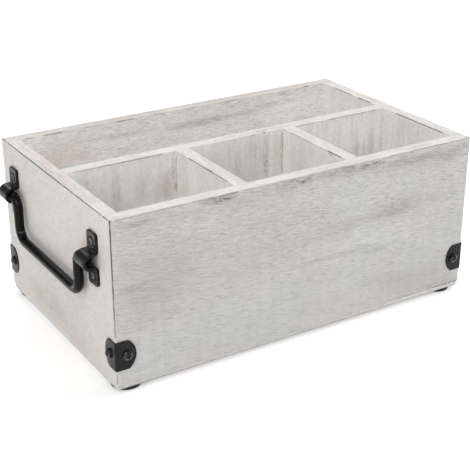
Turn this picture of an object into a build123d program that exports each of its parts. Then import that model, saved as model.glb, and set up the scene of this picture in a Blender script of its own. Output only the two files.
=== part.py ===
from build123d import *
from math import radians, tan
import os

# Cutlery caddy: a painted wooden box with one long and three short compartments,
# a steel bracket round each corner and a swinging bail handle on each end.
# Millimetres. +X runs along the box, the front faces -Y and +Z is up.
# The origin is on the table, under the middle of the box.

# Box
box_length = 340.0
box_width = 208.0
wall_height = 136.0
wall_thickness = 12.0
divider_thickness = 12.0
rear_compartment_width = 82.0
outer_compartment_extra = 5.0
edge_ease = 0.8

# Base board, a thin sheet under the walls
base_thickness = 4.0
base_inset = 0.2
base_corner_radius = 2.5

# Feet, round pads stuck under the base board
foot_diameter = 24.0
foot_thickness = 4.0
foot_margin = 2.0
foot_edge_radius = 0.6

# Corner brackets, whose legs have straight edges and then a round end
bracket_height = 24.4
bracket_rise = 16.9
bracket_thickness = 1.0
bracket_straight = 10.5
bracket_reach = 16.7
bracket_tip_radius = 1.0

# Pan-head screws of the brackets
bracket_screw_reach = 9.0
bracket_screw_radius = 1.4
bracket_screw_length = 7.5
pan_head_radius = 4.0
pan_head_rim = 1.5
pan_head_height = 3.1

# Bail handles, bent from round rod and mounted a little to the rear of the middle.
# Their ends stop inside the straps' loops.
handle_y = 1.3
pivot_rise = 100.0
pivot_offset = 6.2
rod_diameter = 8.0
rod_clearance = 0.5
arm_spacing = 118.5
bail_drop = 35.0
bail_top_radius = 8.5
bail_bottom_radius = 11.5
rod_end_recess = 7.0
rod_end_chamfer = 0.6

# Straps that carry the bails, each with a loop between two tabs
strap_spacing = 153.0
strap_width = 15.0
strap_thickness = 2.4
strap_height = 43.0
strap_bend_radius = 1.2
strap_tip_radius = 2.5

# Raised countersunk screws of the straps, whose heads lie inside wider sinks
strap_screw_spacing = 27.5
strap_screw_radius = 1.5
strap_screw_length = 11.0
strap_sink_radius = 5.0
strap_sink_angle = 120.0
raised_head_radius = 3.8
raised_head_dome = 1.6

# Values that all screws share
screw_point = 3.0
screw_hole_clearance = 0.3
pilot_clearance = 0.05
recess_width = 1.0
recess_length = 4.2
recess_depth = 1.5

# Brads through the walls, set below the faces and filled over
brad_radius = 0.6
brad_length = 25.0
brad_point = 1.5
brad_head_radius = 0.9
brad_head_thickness = 0.6
brad_set = 0.8
corner_brad_count = 3
corner_brad_margin = 14.0
divider_brad_count = 2
divider_brad_margin = 30.0

# Brads up through the base board
base_brad_length = 19.0
base_brad_set = 0.3
base_brad_margin = 48.0
long_wall_brad_count = 4
end_wall_brad_count = 2
long_divider_brad_count = 3

# Places that follow from the sizes
half_length = box_length / 2
half_width = box_width / 2
wall_bottom = foot_thickness + base_thickness
wall_middle = wall_bottom + wall_height / 2
wall_top = wall_bottom + wall_height
wall_x = half_length - wall_thickness / 2
wall_y = half_width - wall_thickness / 2
inner_length = box_length - 2 * wall_thickness
inner_width = box_width - 2 * wall_thickness
middle_compartment_length = (inner_length - 2 * divider_thickness - 2 * outer_compartment_extra) / 3
cross_divider_x = (middle_compartment_length + divider_thickness) / 2
divider_rear = inner_width / 2 - rear_compartment_width
divider_front = divider_rear - divider_thickness
divider_y = divider_rear - divider_thickness / 2
cross_divider_length = divider_front + inner_width / 2
cross_divider_y = divider_front - cross_divider_length / 2
bracket_middle = foot_thickness + bracket_rise + bracket_height / 2
pivot_height = foot_thickness + pivot_rise
rod_radius = rod_diameter / 2
loop_inner_radius = rod_radius + rod_clearance
loop_outer_radius = loop_inner_radius + strap_thickness
rod_half_span = (strap_spacing + strap_width) / 2 - rod_end_recess

SIDES = {"left": -1, "right": 1}
FACES = {"front": -1, "rear": 1}

os.makedirs("parts", exist_ok=True)


def spread(low, high, count):
    """Evenly spaced values from low to high."""
    return [low + (high - low) * i / (count - 1) for i in range(count)]


def outermost(shapes, axis, sign):
    """The shape that lies furthest along an axis, in its negative or positive direction."""
    return shapes.sort_by(axis)[0 if sign < 0 else -1]


def finish(part, name):
    """Label a finished piece and write it."""
    part.label = name
    export_step(part, f"parts/{name}.step")


# Fastener places. Each is a plane at the head, whose normal points out of the wood.


def corner_brad_planes(face):
    """Through the front or rear panel into the edges of both end panels."""
    heights = spread(wall_bottom + corner_brad_margin, wall_top - corner_brad_margin, corner_brad_count)
    y = face * (half_width - brad_set)
    return [Plane(origin=(side * wall_x, y, z), z_dir=(0, face, 0)) for side in (-1, 1) for z in heights]


def divider_brad_heights():
    """Heights of the brads that hold the dividers."""
    return spread(wall_bottom + divider_brad_margin, wall_top - divider_brad_margin, divider_brad_count)


def cross_divider_brad_planes(side):
    """Through the front panel and the long divider into one cross divider."""
    x = side * cross_divider_x
    front = [Plane(origin=(x, brad_set - half_width, z), z_dir=(0, -1, 0)) for z in divider_brad_heights()]
    rear = [Plane(origin=(x, divider_rear - brad_set, z), z_dir=(0, 1, 0)) for z in divider_brad_heights()]
    return front + rear


def long_divider_brad_planes(side):
    """Through an end panel into the end of the long divider."""
    x = side * (half_length - brad_set)
    return [Plane(origin=(x, divider_y, z), z_dir=(side, 0, 0)) for z in divider_brad_heights()]


def base_brad_planes(points):
    """Up through the base board at these points."""
    return [Plane(origin=(x, y, foot_thickness + base_brad_set), z_dir=(0, 0, -1)) for x, y in points]


def long_wall_brad_planes(face):
    """Through the base board into the front or rear panel."""
    end = half_length - base_brad_margin
    return base_brad_planes([(x, face * wall_y) for x in spread(-end, end, long_wall_brad_count)])


def end_wall_brad_planes(side):
    """Through the base board into an end panel."""
    end = half_width - base_brad_margin
    return base_brad_planes([(side * wall_x, y) for y in spread(-end, end, end_wall_brad_count)])


def long_divider_base_planes():
    """Through the base board into the long divider."""
    end = half_length - base_brad_margin
    return base_brad_planes([(x, divider_y) for x in spread(-end, end, long_divider_brad_count)])


def cross_divider_base_planes(side):
    """Through the base board into one cross divider."""
    return base_brad_planes([(side * cross_divider_x, cross_divider_y)])


def bracket_screw_planes(side, face):
    """Through the two legs of one corner bracket."""
    x = side * (half_length - bracket_screw_reach)
    y = face * (half_width - bracket_screw_reach)
    outer_x = side * (half_length + bracket_thickness)
    outer_y = face * (half_width + bracket_thickness)
    return [
        Plane(origin=(x, outer_y, bracket_middle), z_dir=(0, face, 0)),
        Plane(origin=(outer_x, y, bracket_middle), z_dir=(side, 0, 0)),
    ]


def strap_screw_planes(side, face):
    """Through the upper and lower tab of one strap."""
    x = side * (half_length + strap_thickness)
    y = handle_y + face * strap_spacing / 2
    reach = strap_screw_spacing / 2
    return [Plane(origin=(x, y, pivot_height + up), z_dir=(side, 0, 0)) for up in (reach, -reach)]


# Holes, cut inside the block of the piece that has them


def drill(planes, radius, depth):
    """Round holes from each plane into the piece."""
    with Locations(*planes):
        Cylinder(radius, depth, align=(Align.CENTER, Align.CENTER, Align.MAX), mode=Mode.SUBTRACT)


def drill_brads(planes, length, set_depth=0.0):
    """Holes round brads, open as far above their heads as set_depth."""
    drill(planes, brad_radius + pilot_clearance, length + pilot_clearance)
    mouths = [plane.offset(set_depth) for plane in planes]
    drill(mouths, brad_head_radius + pilot_clearance, set_depth + brad_head_thickness + pilot_clearance)


def drill_pilots(planes, radius, length):
    """Holes round the shanks of screws."""
    drill(planes, radius + pilot_clearance, length + pilot_clearance)


# Walls, dividers and base board


def long_panel(face):
    """Front or rear panel, which covers the edges of the end panels."""
    with BuildPart() as panel:
        with Locations((0, face * wall_y, wall_middle)):
            Box(box_length, wall_thickness, wall_height)
        outer_face = outermost(panel.faces(), Axis.Y, face)
        fillet(outer_face.edges().sort_by(Axis.Z)[1:], edge_ease)
        drill_brads(corner_brad_planes(face), brad_length)
        drill_brads(long_wall_brad_planes(face), base_brad_length)
        for side in SIDES.values():
            if face == FACES["front"]:
                drill_brads(cross_divider_brad_planes(side), brad_length)
            drill_pilots(bracket_screw_planes(side, face), bracket_screw_radius, bracket_screw_length)
    return panel.part


def end_panel(side):
    """Left or right panel, which stands between the long ones."""
    with BuildPart() as panel:
        with Locations((side * wall_x, 0, wall_middle)):
            Box(wall_thickness, inner_width, wall_height)
        top_edges = panel.edges().filter_by(Axis.Y).group_by(Axis.Z)[-1]
        fillet(outermost(top_edges, Axis.X, side), edge_ease)
        drill_brads(long_divider_brad_planes(side), brad_length)
        drill_brads(end_wall_brad_planes(side), base_brad_length)
        for face in FACES.values():
            drill_brads(corner_brad_planes(face), brad_length)
            drill_pilots(strap_screw_planes(side, face), strap_screw_radius, strap_screw_length)
    return panel.part


def cross_divider(side):
    """Short divider between the front panel and the long divider."""
    with BuildPart() as divider:
        with Locations((side * cross_divider_x, cross_divider_y, wall_middle)):
            Box(divider_thickness, cross_divider_length, wall_height)
        drill_brads(cross_divider_brad_planes(side), brad_length)
        drill_brads(cross_divider_base_planes(side), base_brad_length)
    return divider.part


for name, face in FACES.items():
    finish(long_panel(face), f"{name}_panel")

for name, side in SIDES.items():
    finish(end_panel(side), f"{name}_end_panel")
    finish(cross_divider(side), f"{name}_cross_divider")

with BuildPart() as long_divider:
    with Locations((0, divider_y, wall_middle)):
        Box(inner_length, divider_thickness, wall_height)
    drill_brads(long_divider_base_planes(), base_brad_length)
    for side in SIDES.values():
        drill_brads(long_divider_brad_planes(side), brad_length)
        drill_brads(cross_divider_brad_planes(side), brad_length)
finish(long_divider.part, "long_divider")

base_planes = long_divider_base_planes()
for face in FACES.values():
    base_planes += long_wall_brad_planes(face)
for side in SIDES.values():
    base_planes += end_wall_brad_planes(side) + cross_divider_base_planes(side)

with BuildPart() as base_board:
    with BuildSketch(Plane.XY.offset(foot_thickness)):
        RectangleRounded(box_length - 2 * base_inset, box_width - 2 * base_inset, base_corner_radius)
    extrude(amount=base_thickness)
    drill_brads(base_planes, base_brad_length, base_brad_set)
finish(base_board.part, "base_board")


# Feet


def foot(side, face):
    """Pad under one corner of the base board."""
    reach = foot_margin + foot_diameter / 2
    with BuildPart() as pad:
        with Locations((side * (half_length - reach), face * (half_width - reach))):
            Cylinder(foot_diameter / 2, foot_thickness, align=(Align.CENTER, Align.CENTER, Align.MIN))
        fillet(pad.edges().sort_by(Axis.Z)[0], foot_edge_radius)
    return pad.part


for face_name, face in FACES.items():
    for side_name, side in SIDES.items():
        finish(foot(side, face), f"foot_{face_name}_{side_name}")


# Corner brackets

# Side view of a leg, with the bend at X = 0
with BuildSketch() as leg_outline:
    with BuildLine():
        edges = Polyline(
            (bracket_straight, bracket_height / 2),
            (-bracket_reach, bracket_height / 2),
            (-bracket_reach, -bracket_height / 2),
            (bracket_straight, -bracket_height / 2),
        )
        ThreePointArc(edges @ 1, (bracket_reach, 0), edges @ 0)
    make_face()
    fillet(leg_outline.vertices().group_by(Axis.X)[-1], bracket_tip_radius)


def corner_bracket(side, face):
    """Plate bent round one upright edge of the box."""
    corner = (side * half_length, face * half_width, bracket_middle)
    plan = Plane(origin=corner, x_dir=(-side, 0, 0), z_dir=(0, 0, side * face))
    leg_planes = [
        Plane(origin=corner, x_dir=(-side, 0, 0), z_dir=(0, face, 0)),
        Plane(origin=corner, x_dir=(0, -face, 0), z_dir=(side, 0, 0)),
    ]
    with BuildPart() as bracket:
        with BuildSketch(plan) as bend:
            with Locations((-bracket_thickness, -bracket_thickness)):
                size = bracket_reach + bracket_thickness
                Rectangle(size, size, align=(Align.MIN, Align.MIN))
            Rectangle(bracket_reach, bracket_reach, align=(Align.MIN, Align.MIN), mode=Mode.SUBTRACT)
            fillet(bend.vertices().sort_by_distance((0, 0))[0], edge_ease)
            outer_corner = (-bracket_thickness, -bracket_thickness)
            fillet(bend.vertices().sort_by_distance(outer_corner)[0], edge_ease + bracket_thickness)
        extrude(amount=bracket_height / 2, both=True)
        for leg_plane in leg_planes:
            with BuildSketch(leg_plane):
                add(leg_outline.sketch)
            extrude(amount=2 * bracket_reach, both=True, mode=Mode.INTERSECT)
        drill(bracket_screw_planes(side, face), bracket_screw_radius + screw_hole_clearance, bracket_reach / 2)
    return bracket.part


for face_name, face in FACES.items():
    for side_name, side in SIDES.items():
        finish(corner_bracket(side, face), f"corner_bracket_{face_name}_{side_name}")


# Handle straps


def handle_strap(side, face):
    """Strip with a loop round the rod, seen from its end in the sketch."""
    origin = (side * half_length, handle_y + face * strap_spacing / 2, pivot_height)
    with BuildPart() as strap:
        with BuildSketch(Plane(origin=origin, x_dir=(side, 0, 0), z_dir=(0, -side, 0))) as section:
            with BuildLine():
                Polyline(
                    (pivot_offset, loop_inner_radius),
                    (0, loop_inner_radius),
                    (0, strap_height / 2),
                    (strap_thickness, strap_height / 2),
                    (strap_thickness, loop_outer_radius),
                    (pivot_offset, loop_outer_radius),
                )
                mirror(about=Plane.XZ)
                for radius in (loop_inner_radius, loop_outer_radius):
                    ThreePointArc((pivot_offset, radius), (pivot_offset + radius, 0), (pivot_offset, -radius))
            make_face()
            inner_bends = section.vertices().group_by(Axis.X)[1].sort_by(Axis.Y)[1:-1]
            fillet(inner_bends, strap_bend_radius)
            outer_bends = section.vertices().group_by(Axis.X)[0].sort_by(Axis.Y)[1:-1]
            fillet(outer_bends, strap_bend_radius + strap_thickness)
        extrude(amount=strap_width / 2, both=True)
        tips = strap.edges().filter_by(Axis.X).group_by(Axis.Z)
        fillet(tips[0] + tips[-1], strap_tip_radius)
        with Locations(*strap_screw_planes(side, face)):
            CounterSinkHole(
                strap_screw_radius + screw_hole_clearance,
                strap_sink_radius,
                strap_thickness,
                strap_sink_angle,
            )
    return strap.part


for side_name, side in SIDES.items():
    for face_name, face in FACES.items():
        finish(handle_strap(side, face), f"handle_strap_{side_name}_{face_name}")


# Handle bails


def handle_bail(side):
    """Rod handle, hanging straight down from its two straps."""
    origin = (side * (half_length + pivot_offset), handle_y, pivot_height)
    arm = arm_spacing / 2
    with BuildPart() as bail:
        with BuildLine(Plane(origin=origin, x_dir=(0, 1, 0), z_dir=(1, 0, 0))) as path:
            FilletPolyline(
                (-rod_half_span, 0),
                (-arm, 0),
                (-arm, -bail_drop),
                (arm, -bail_drop),
                (arm, 0),
                (rod_half_span, 0),
                radius=[bail_top_radius, bail_bottom_radius, bail_bottom_radius, bail_top_radius],
            )
        with BuildSketch(Plane(origin=path.line @ 0, z_dir=path.line % 0)):
            Circle(rod_radius)
        sweep()
        ends = bail.faces().filter_by(Axis.Y).sort_by(Axis.Y)
        chamfer(ends[0].edges() + ends[-1].edges(), rod_end_chamfer)
    return bail.part


for name, side in SIDES.items():
    finish(handle_bail(side), f"handle_bail_{name}")


# Screws and brads, each made once with its seat at the origin and its head up


def cut_cross_recess(top):
    """Cross in the top of a screw's head."""
    with Locations((0, 0, top)):
        Box(recess_length, recess_width, 2 * recess_depth, mode=Mode.SUBTRACT)
        Box(recess_width, recess_length, 2 * recess_depth, mode=Mode.SUBTRACT)


with BuildPart() as bracket_screw:
    with BuildSketch(Plane.XZ):
        with BuildLine():
            dome = TangentArc((0, pan_head_height), (pan_head_radius, pan_head_rim), tangent=(1, 0))
            Polyline(
                dome @ 1,
                (pan_head_radius, 0),
                (bracket_screw_radius, 0),
                (bracket_screw_radius, screw_point - bracket_screw_length),
                (0, -bracket_screw_length),
                dome @ 0,
            )
        make_face()
    revolve(axis=Axis.Z)
    cut_cross_recess(pan_head_height)

sink_slope = tan(radians(strap_sink_angle / 2))
raised_head_seat = (raised_head_radius - strap_sink_radius) / sink_slope
raised_head_top = raised_head_seat + raised_head_dome
shank_top = (strap_screw_radius - strap_sink_radius) / sink_slope

with BuildPart() as strap_screw:
    with BuildSketch(Plane.XZ):
        with BuildLine():
            dome = TangentArc((0, raised_head_top), (raised_head_radius, raised_head_seat), tangent=(1, 0))
            Polyline(
                dome @ 1,
                (strap_screw_radius, shank_top),
                (strap_screw_radius, screw_point - strap_screw_length),
                (0, -strap_screw_length),
                dome @ 0,
            )
        make_face()
    revolve(axis=Axis.Z)
    cut_cross_recess(raised_head_top)


def brad(length):
    """Brad of one length, its head's top at the origin."""
    with BuildPart() as nail:
        with BuildSketch(Plane.XZ):
            with BuildLine():
                Polyline(
                    (0, 0),
                    (brad_head_radius, 0),
                    (brad_head_radius, -brad_head_thickness),
                    (brad_radius, -brad_head_thickness),
                    (brad_radius, brad_point - length),
                    (0, -length),
                    close=True,
                )
            make_face()
        revolve(axis=Axis.Z)
    return nail.part


def finish_group(fastener, planes, name):
    """Write copies of a fastener, one at each plane, as one piece."""
    finish(Compound([fastener.solid().moved(plane.location) for plane in planes]), name)


wall_brad = brad(brad_length)
bracket_planes = []
strap_planes = []
corner_planes = []
divider_planes = []
for side in SIDES.values():
    divider_planes += cross_divider_brad_planes(side) + long_divider_brad_planes(side)
    for face in FACES.values():
        bracket_planes += bracket_screw_planes(side, face)
        strap_planes += strap_screw_planes(side, face)
for face in FACES.values():
    corner_planes += corner_brad_planes(face)

finish_group(bracket_screw.part, bracket_planes, "bracket_screws")
finish_group(strap_screw.part, strap_planes, "strap_screws")
finish_group(wall_brad, corner_planes, "corner_brads")
finish_group(wall_brad, divider_planes, "divider_brads")
finish_group(brad(base_brad_length), base_planes, "base_brads")
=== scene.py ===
from itertools import product
from math import hypot, radians

import bmesh
import bpy
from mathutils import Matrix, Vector, noise


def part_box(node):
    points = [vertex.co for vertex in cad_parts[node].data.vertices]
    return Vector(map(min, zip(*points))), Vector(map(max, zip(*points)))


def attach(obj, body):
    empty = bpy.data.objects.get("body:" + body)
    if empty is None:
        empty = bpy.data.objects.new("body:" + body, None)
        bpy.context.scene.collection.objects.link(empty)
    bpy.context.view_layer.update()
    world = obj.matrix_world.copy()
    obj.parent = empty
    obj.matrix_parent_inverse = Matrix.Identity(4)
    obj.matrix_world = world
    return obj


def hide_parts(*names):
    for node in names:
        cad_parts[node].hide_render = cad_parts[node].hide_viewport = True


# Looks of the cutlery caddy: whitewashed boards with rubbed arrises, and black steel fittings.
# Metres, in the frame's own axes: +X along the box, the front faces -Y, +Z is up.

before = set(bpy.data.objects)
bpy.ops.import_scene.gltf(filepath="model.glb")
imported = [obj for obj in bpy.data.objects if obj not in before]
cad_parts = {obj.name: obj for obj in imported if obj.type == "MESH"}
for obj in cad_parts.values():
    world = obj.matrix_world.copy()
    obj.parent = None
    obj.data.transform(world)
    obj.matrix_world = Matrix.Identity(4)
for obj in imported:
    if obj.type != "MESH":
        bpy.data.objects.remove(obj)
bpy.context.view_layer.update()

# Camera, at the photograph's viewing angle
EYE = Vector((-0.4756, -0.7652, 0.4598))
VIEW_DIRECTION = Vector((0.48031, 0.77466, -0.41136))
LENS_MM = 85.72
SENSOR_MM = 36.0
NEAR_CLIP = 0.01
FAR_CLIP = 50.0

# Planes of the box that the looks follow, and how near to one a point counts as on it
END_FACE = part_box("front_panel")[1].x
SEAM_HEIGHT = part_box("base_board")[1].z
RIM_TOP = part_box("front_panel")[1].z
EDGE_BAND = 0.0007

# Radii of the boards' arrises, the grid that carries them, and how unevenly they are worn
OUTER_EASE = 0.0008
RIM_EASE = 0.0005
JOINT_EASE = 0.00005
SHEET_EASE = 0.0004
SHEET_CORNER = 0.0025
ARRIS_STEPS = (0.0, 0.00012, 0.0003, 0.00055, 0.0009, 0.0014, 0.0022, 0.0034)
BOARD_STEP = 0.0024
EASE_SWAY = 0.55
EASE_WAVES = 160
EASE_ROW = 4000
CHIP_SWAY = 0.6
CHIP_WAVES = 900
CHIP_ROW = 3

# Grain: length and width of a stroke or a band
LONG_STROKE = (0.0092, 0.00100)
REAR_STROKE = (0.0080, 0.0009)
LONG_BAND = (0.057, 0.009)
UPRIGHT_STROKE = (0.005, 0.0029)
UPRIGHT_BAND = (0.16, 0.011)
RIM_STROKE = (0.014, 0.0024)
RIM_BAND = (0.030, 0.007)
END_STROKE = (0.010, 0.0034)
END_BAND = (0.040, 0.018)
SMUDGE = (0.0065, 0.0018)

# Saw marks across the long boards: their size on each axis, and their contrast at the foot
SAW_BAND = (0.0065, 1.0, 0.05)
SAW_SHARE = 0.15

# Turn of the grain from the board's own axis
LONG_TURN = radians(8)
REAR_TURN = radians(3)
END_TURN = radians(-20)

# Contrast of the fine strokes, the bands and the dashes
LONG_CONTRAST = (0.68, 0.19, 0.17)
REAR_CONTRAST = (0.80, 0.10, 0.15)
UPRIGHT_CONTRAST = (0.28, 0.30, 0.03)
RIM_CONTRAST = (0.30, 0.40, 0.12)
END_CONTRAST = (0.24, 0.22, 0.03)

# Share of the fine strokes' contrast at a board's foot and at its rim
GRAIN_FADE = (0.35, 1.0)

# Noises: scale, detail, roughness and distortion
SWAY_NOISE = (22.0, 1.0)
FINE_NOISE = (1.0, 2.0, 0.65)
HAIR_NOISE = (2.6, 1.0, 0.6)
DASH_NOISE = (1.05, 1.5, 0.5)
BAND_NOISE = (1.0, 3.0, 0.55, 0.3)
SAW_NOISE = (1.0, 2.0)
PATCH_NOISE = (26.0, 2.0, 0.5)
STREAK_NOISE = (1.3, 2.0, 0.7)
SMUDGE_NOISE = (1.0, 3.0, 0.6)
LINE_BREAKUP_NOISE = (150.0, 2.0)
RUB_NOISE = (130.0, 3.0, 0.65)
NOISE_MIDDLE = 0.5
BAND_MIDDLE = 0.52
NOISE_SPAN = (0.3, 0.7)

# Ramps: from a low and a high value, to the shares there
DASH_RAMP = (0.56, 0.70)
EVEN_RAMP = (0.36, 0.56, 0.75, 1.0)
STREAK_RAMP = (0.38, 0.60, 0.20, 1.10)
SPOT_RAMP = (0.40, 0.66)
LINE_BREAKUP_RAMP = (0.32, 0.48, 0.68, 1.0)
RUB_REACH = (0.0002, 0.0011, 1.0, 0.0)
RUB_RAMP = (0.56, 0.68, 0.0, 0.30)
SEAM_REACH = (0.0010, 0.0022)

# Paint
SWAY = 0.004
BOARD_SHIFT = (0.31, 0.17, 0.23)
PAINT_ROUGHNESS = (0.66, 0.80)
PAINT_GLOSS = 0.25
PAINT_RELIEF = (0.0003, 0.6)
DASH_DEPTH = 0.5
TINT_DEPTH = 0.0045
TINT_CORE = 0.3
RIM_TINT_DEPTH = 0.0012
ARRIS_LINE_WIDTH = 0.0010
ARRIS_LINE_FADE = 0.004
ARRIS_LINE_SOFT_SHARE = 0.6
# Strengths of the painted shade along the base board's foot and of the dark seam along its top
SHEET_FOOT_SHADE = 0.55
SHEET_SEAM_LINE = 0.02

# A face counts as inside the box where it lies nearer to the middle than this
ALL_INDOORS = 1.0
ALL_OUTDOORS = 0.0

# Steel plates: eased edges, and the angles that tell a flat, an edge and a crease apart
PLATE_EDGE = 0.00028
PLATE_EDGE_STEPS = 2
PLATE_EDGE_PROFILE = 0.6
WELD_DISTANCE = 1e-6
FLAT_ANGLE = radians(1)
EDGE_ANGLE = radians(35)
CREASE_ANGLE = radians(24)

# Strap screws: their places on an end, the sinks round their heads, which get painted shade, and the
# crowns of their heads, which get a painted highlight
STRAP_SCREW_RISE = 0.01375
STRAP_MIDDLE = (0.0013, 0.104)
STRAP_REACH = 0.0765
STRAP_THICKNESS = 0.0024
STRAP_FACE = END_FACE + STRAP_THICKNESS
SINK_RADIUS = 0.005
SINK_SLOPE = 1.732
SINK_TOLERANCE = 0.00025
CROWN_RADIUS = 0.0028
CROWN_FADE = 0.0004

# Ring rubbed round a bail's rear arm
RING_HEIGHT = 0.0765
RING_REACH = (0.0002, 0.0006, 1.0, 0.0)
REAR_ARM = 0.05

# Steel paint
STEEL_MOTTLE = (420.0, 3.0, 0.6)
STEEL_CLOUD = (70.0, 2.0)
CLOUD_RAMP = (0.35, 0.70)
CLOUD_LIFT = 2.2
CLOUD_WARMTH = 0.05
MOTTLE_ROUGHNESS = (-0.03, 0.04)
STEEL_RELIEF = (0.00005, 0.25)

# Rubber and bare steel
SPECKLE = (900.0, 2.0)
SPECKLE_RAMP = (0.4, 0.7)
RUBBER_LEVELS = (0.006, 0.016)
RUBBER_ROUGHNESS = (0.70, 0.85)
RUBBER_RELIEF = (0.00008, 0.5)
SCRATCH = (0.0006, 0.0006, 0.005)
SCRATCH_NOISE = (1.0, 2.0)
BARE_LEVELS = (0.30, 0.50)
BARE_WARMTH = -0.02
BARE_ROUGHNESS = (0.30, 0.45)
BARE_RELIEF = (0.00003, 0.4)

# Stage: glows, the floor's size, and the distance over which its glow makes up for the fading light
WORLD_GLOW = 0.25
FLOOR_GLOW = 0.25
FAR_FLOOR_GLOW = 0.85
FAR_FLOOR = (1.2, 2.5)
FLOOR_HALF = 6.0
FLOOR_LEVEL = 0.99
FLOOR_ROUGHNESS = 0.9
FLOOR_GLOSS = 0.1

# Soft lights, all aimed at the box: place and power
SOFTBOX = 1.4
LIGHT_TARGET = Vector((0.0, 0.0, 0.1))
LIGHTS = {
    "front_left": ((-1.0, -1.1, 1.2), 16.5),
    "right": ((1.4, -0.2, 1.2), 14.0),
    "rear": ((0.35, 1.3, 1.3), 13.0),
    "left": ((-1.4, 0.0, 1.1), 3.6),
}

# The Mix node's sockets for the factor and the two colours, and for the factor and the two vectors
COLOUR_SOCKETS = (0, 6, 7)
VECTOR_SOCKETS = (0, 4, 5)


def add_object(name, data):
    """New object, linked to the scene."""
    made = bpy.data.objects.new(name, data)
    bpy.context.scene.collection.objects.link(made)
    return made


def aim(thing, place, direction):
    """Put a camera or a light at a place and point it along a direction."""
    thing.location = place
    thing.rotation_mode = "QUATERNION"
    thing.rotation_quaternion = direction.to_track_quat("-Z", "Y")


def dress_node(name, mesh, node):
    """Put a mesh in place of a node that is fixed to the box."""
    piece = add_object(name, mesh)
    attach(piece, "box")
    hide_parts(node)


def make_camera():
    """Camera of the main view."""
    data = bpy.data.cameras.new("camera")
    data.lens = LENS_MM
    data.sensor_width = SENSOR_MM
    data.clip_start = NEAR_CLIP
    data.clip_end = FAR_CLIP
    camera = add_object("camera", data)
    aim(camera, EYE, VIEW_DIRECTION)
    bpy.context.scene.camera = camera


# Shader nodes


class Shader:
    """A material's node tree with a Principled surface. Most methods add one node and give its output."""

    def __init__(self, name):
        self.material = bpy.data.materials.new(name)
        self.material.use_nodes = True
        self.tree = self.material.node_tree
        self.surface = self.tree.nodes["Principled BSDF"]

    def add(self, kind, inputs=None, output=0, **settings):
        node = self.tree.nodes.new(kind)
        for name, value in settings.items():
            setattr(node, name, value)
        for name, value in (inputs or {}).items():
            self.plug(node.inputs[name], value)
        return node.outputs[output]

    def plug(self, socket, value):
        if isinstance(value, bpy.types.NodeSocket):
            self.tree.links.new(value, socket)
        else:
            socket.default_value = value

    def set(self, name, value):
        self.plug(self.surface.inputs[name], value)

    def place(self):
        """Point in the frame, as every object stands at the frame's origin."""
        return self.add("ShaderNodeTexCoord", output="Object")

    def split(self, vector):
        return self.add("ShaderNodeSeparateXYZ", {0: vector}).node.outputs[:3]

    def join(self, x, y, z=0.0):
        return self.add("ShaderNodeCombineXYZ", {0: x, 1: y, 2: z})

    def math(self, operation, a, b=0.0, c=0.0):
        return self.add("ShaderNodeMath", {0: a, 1: b, 2: c}, operation=operation)

    def gap(self, value, middle):
        """How far a value lies from its middle."""
        return self.math("ABSOLUTE", self.math("SUBTRACT", value, middle))

    def vector(self, operation, a, b=(0.0, 0.0, 0.0), output=0):
        return self.add("ShaderNodeVectorMath", {0: a, 1: b}, output, operation=operation)

    def length(self, vector):
        return self.vector("LENGTH", vector, output="Value")

    def grain_place(self, vector, sizes, turn=(0.0, 0.0, 0.0), offset=(0.0, 0.0, 0.0)):
        inputs = {"Vector": vector, "Location": offset, "Rotation": turn, "Scale": sizes}
        return self.add("ShaderNodeMapping", inputs, vector_type="TEXTURE")

    def noise(self, vector, scale=1.0, detail=2.0, roughness=0.5, distortion=0.0, output=0):
        inputs = {"Vector": vector, "Scale": scale, "Detail": detail, "Roughness": roughness}
        inputs["Distortion"] = distortion
        return self.add("ShaderNodeTexNoise", inputs, output)

    def ramp(self, value, low, high, to_low=0.0, to_high=1.0):
        inputs = {"Value": value, "From Min": low, "From Max": high, "To Min": to_low, "To Max": to_high}
        return self.add("ShaderNodeMapRange", inputs, interpolation_type="SMOOTHSTEP")

    def mix(self, factor, a, b, blend="MIX"):
        inputs = dict(zip(COLOUR_SOCKETS, (factor, a, b)))
        return self.add("ShaderNodeMix", inputs, 2, data_type="RGBA", blend_type=blend)

    def choose(self, mask, where_off, where_on):
        inputs = dict(zip(VECTOR_SOCKETS, (mask, where_off, where_on)))
        return self.add("ShaderNodeMix", inputs, 1, data_type="VECTOR")

    def bump(self, height, distance, strength):
        inputs = {"Height": height, "Distance": distance, "Strength": strength}
        self.set("Normal", self.add("ShaderNodeBump", inputs))


def grey(level, warmth=0.0):
    """Linear colour of one brightness, warmer or cooler."""
    return (level * (1 + warmth), level, level * (1 - warmth), 1.0)


# One whitewash, made darker or lighter on each kind of face as painted light and shade: painted shade on
# the outer faces and the ends, painted light on the rims and inside the box.
OUTER_PAINT_SHADED = grey(0.585, 0.010)
END_PAINT_SHADED = grey(0.65, 0.032)
INNER_PAINT_LIT = grey(0.885, 0.020)
RIM_PAINT_LIT = grey(0.775, 0.025)
# Colour of the bare wood on rubbed arrises; it also darkens the lines of painted shade along arrises and
# under the base board.
BARE_EDGE_AND_SHADE = (0.10, 0.075, 0.06, 1.0)

# Faint pink and faint green patches of the paint: ramp and tint
PATCHES = (
    ((0.42, 0.62, 0.0, 0.6), (1.0, 0.975, 0.965, 1.0)),
    ((0.52, 0.36, 0.0, 0.6), (0.975, 0.985, 0.97, 1.0)),
)

# Stains multiply the paint under them, either evenly, in streaks along the grain or in spots. SHADE is
# painted shade, and the brightening tint is painted light; both are laid on like the stains.
DUSK = ((0.90, 0.872, 0.855, 1.0), "even")
SHADE = ((0.88, 0.87, 0.865, 1.0), "even")
HAZE = ((0.76, 0.725, 0.71, 1.0), "even")
ROSE = ((0.92, 0.85, 0.84, 1.0), "even")
BEIGE = ((0.93, 0.89, 0.84, 1.0), "even")
MOSS = ((0.89, 0.93, 0.89, 1.0), "even")
TAN = ((0.90, 0.81, 0.68, 1.0), "even")
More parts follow.
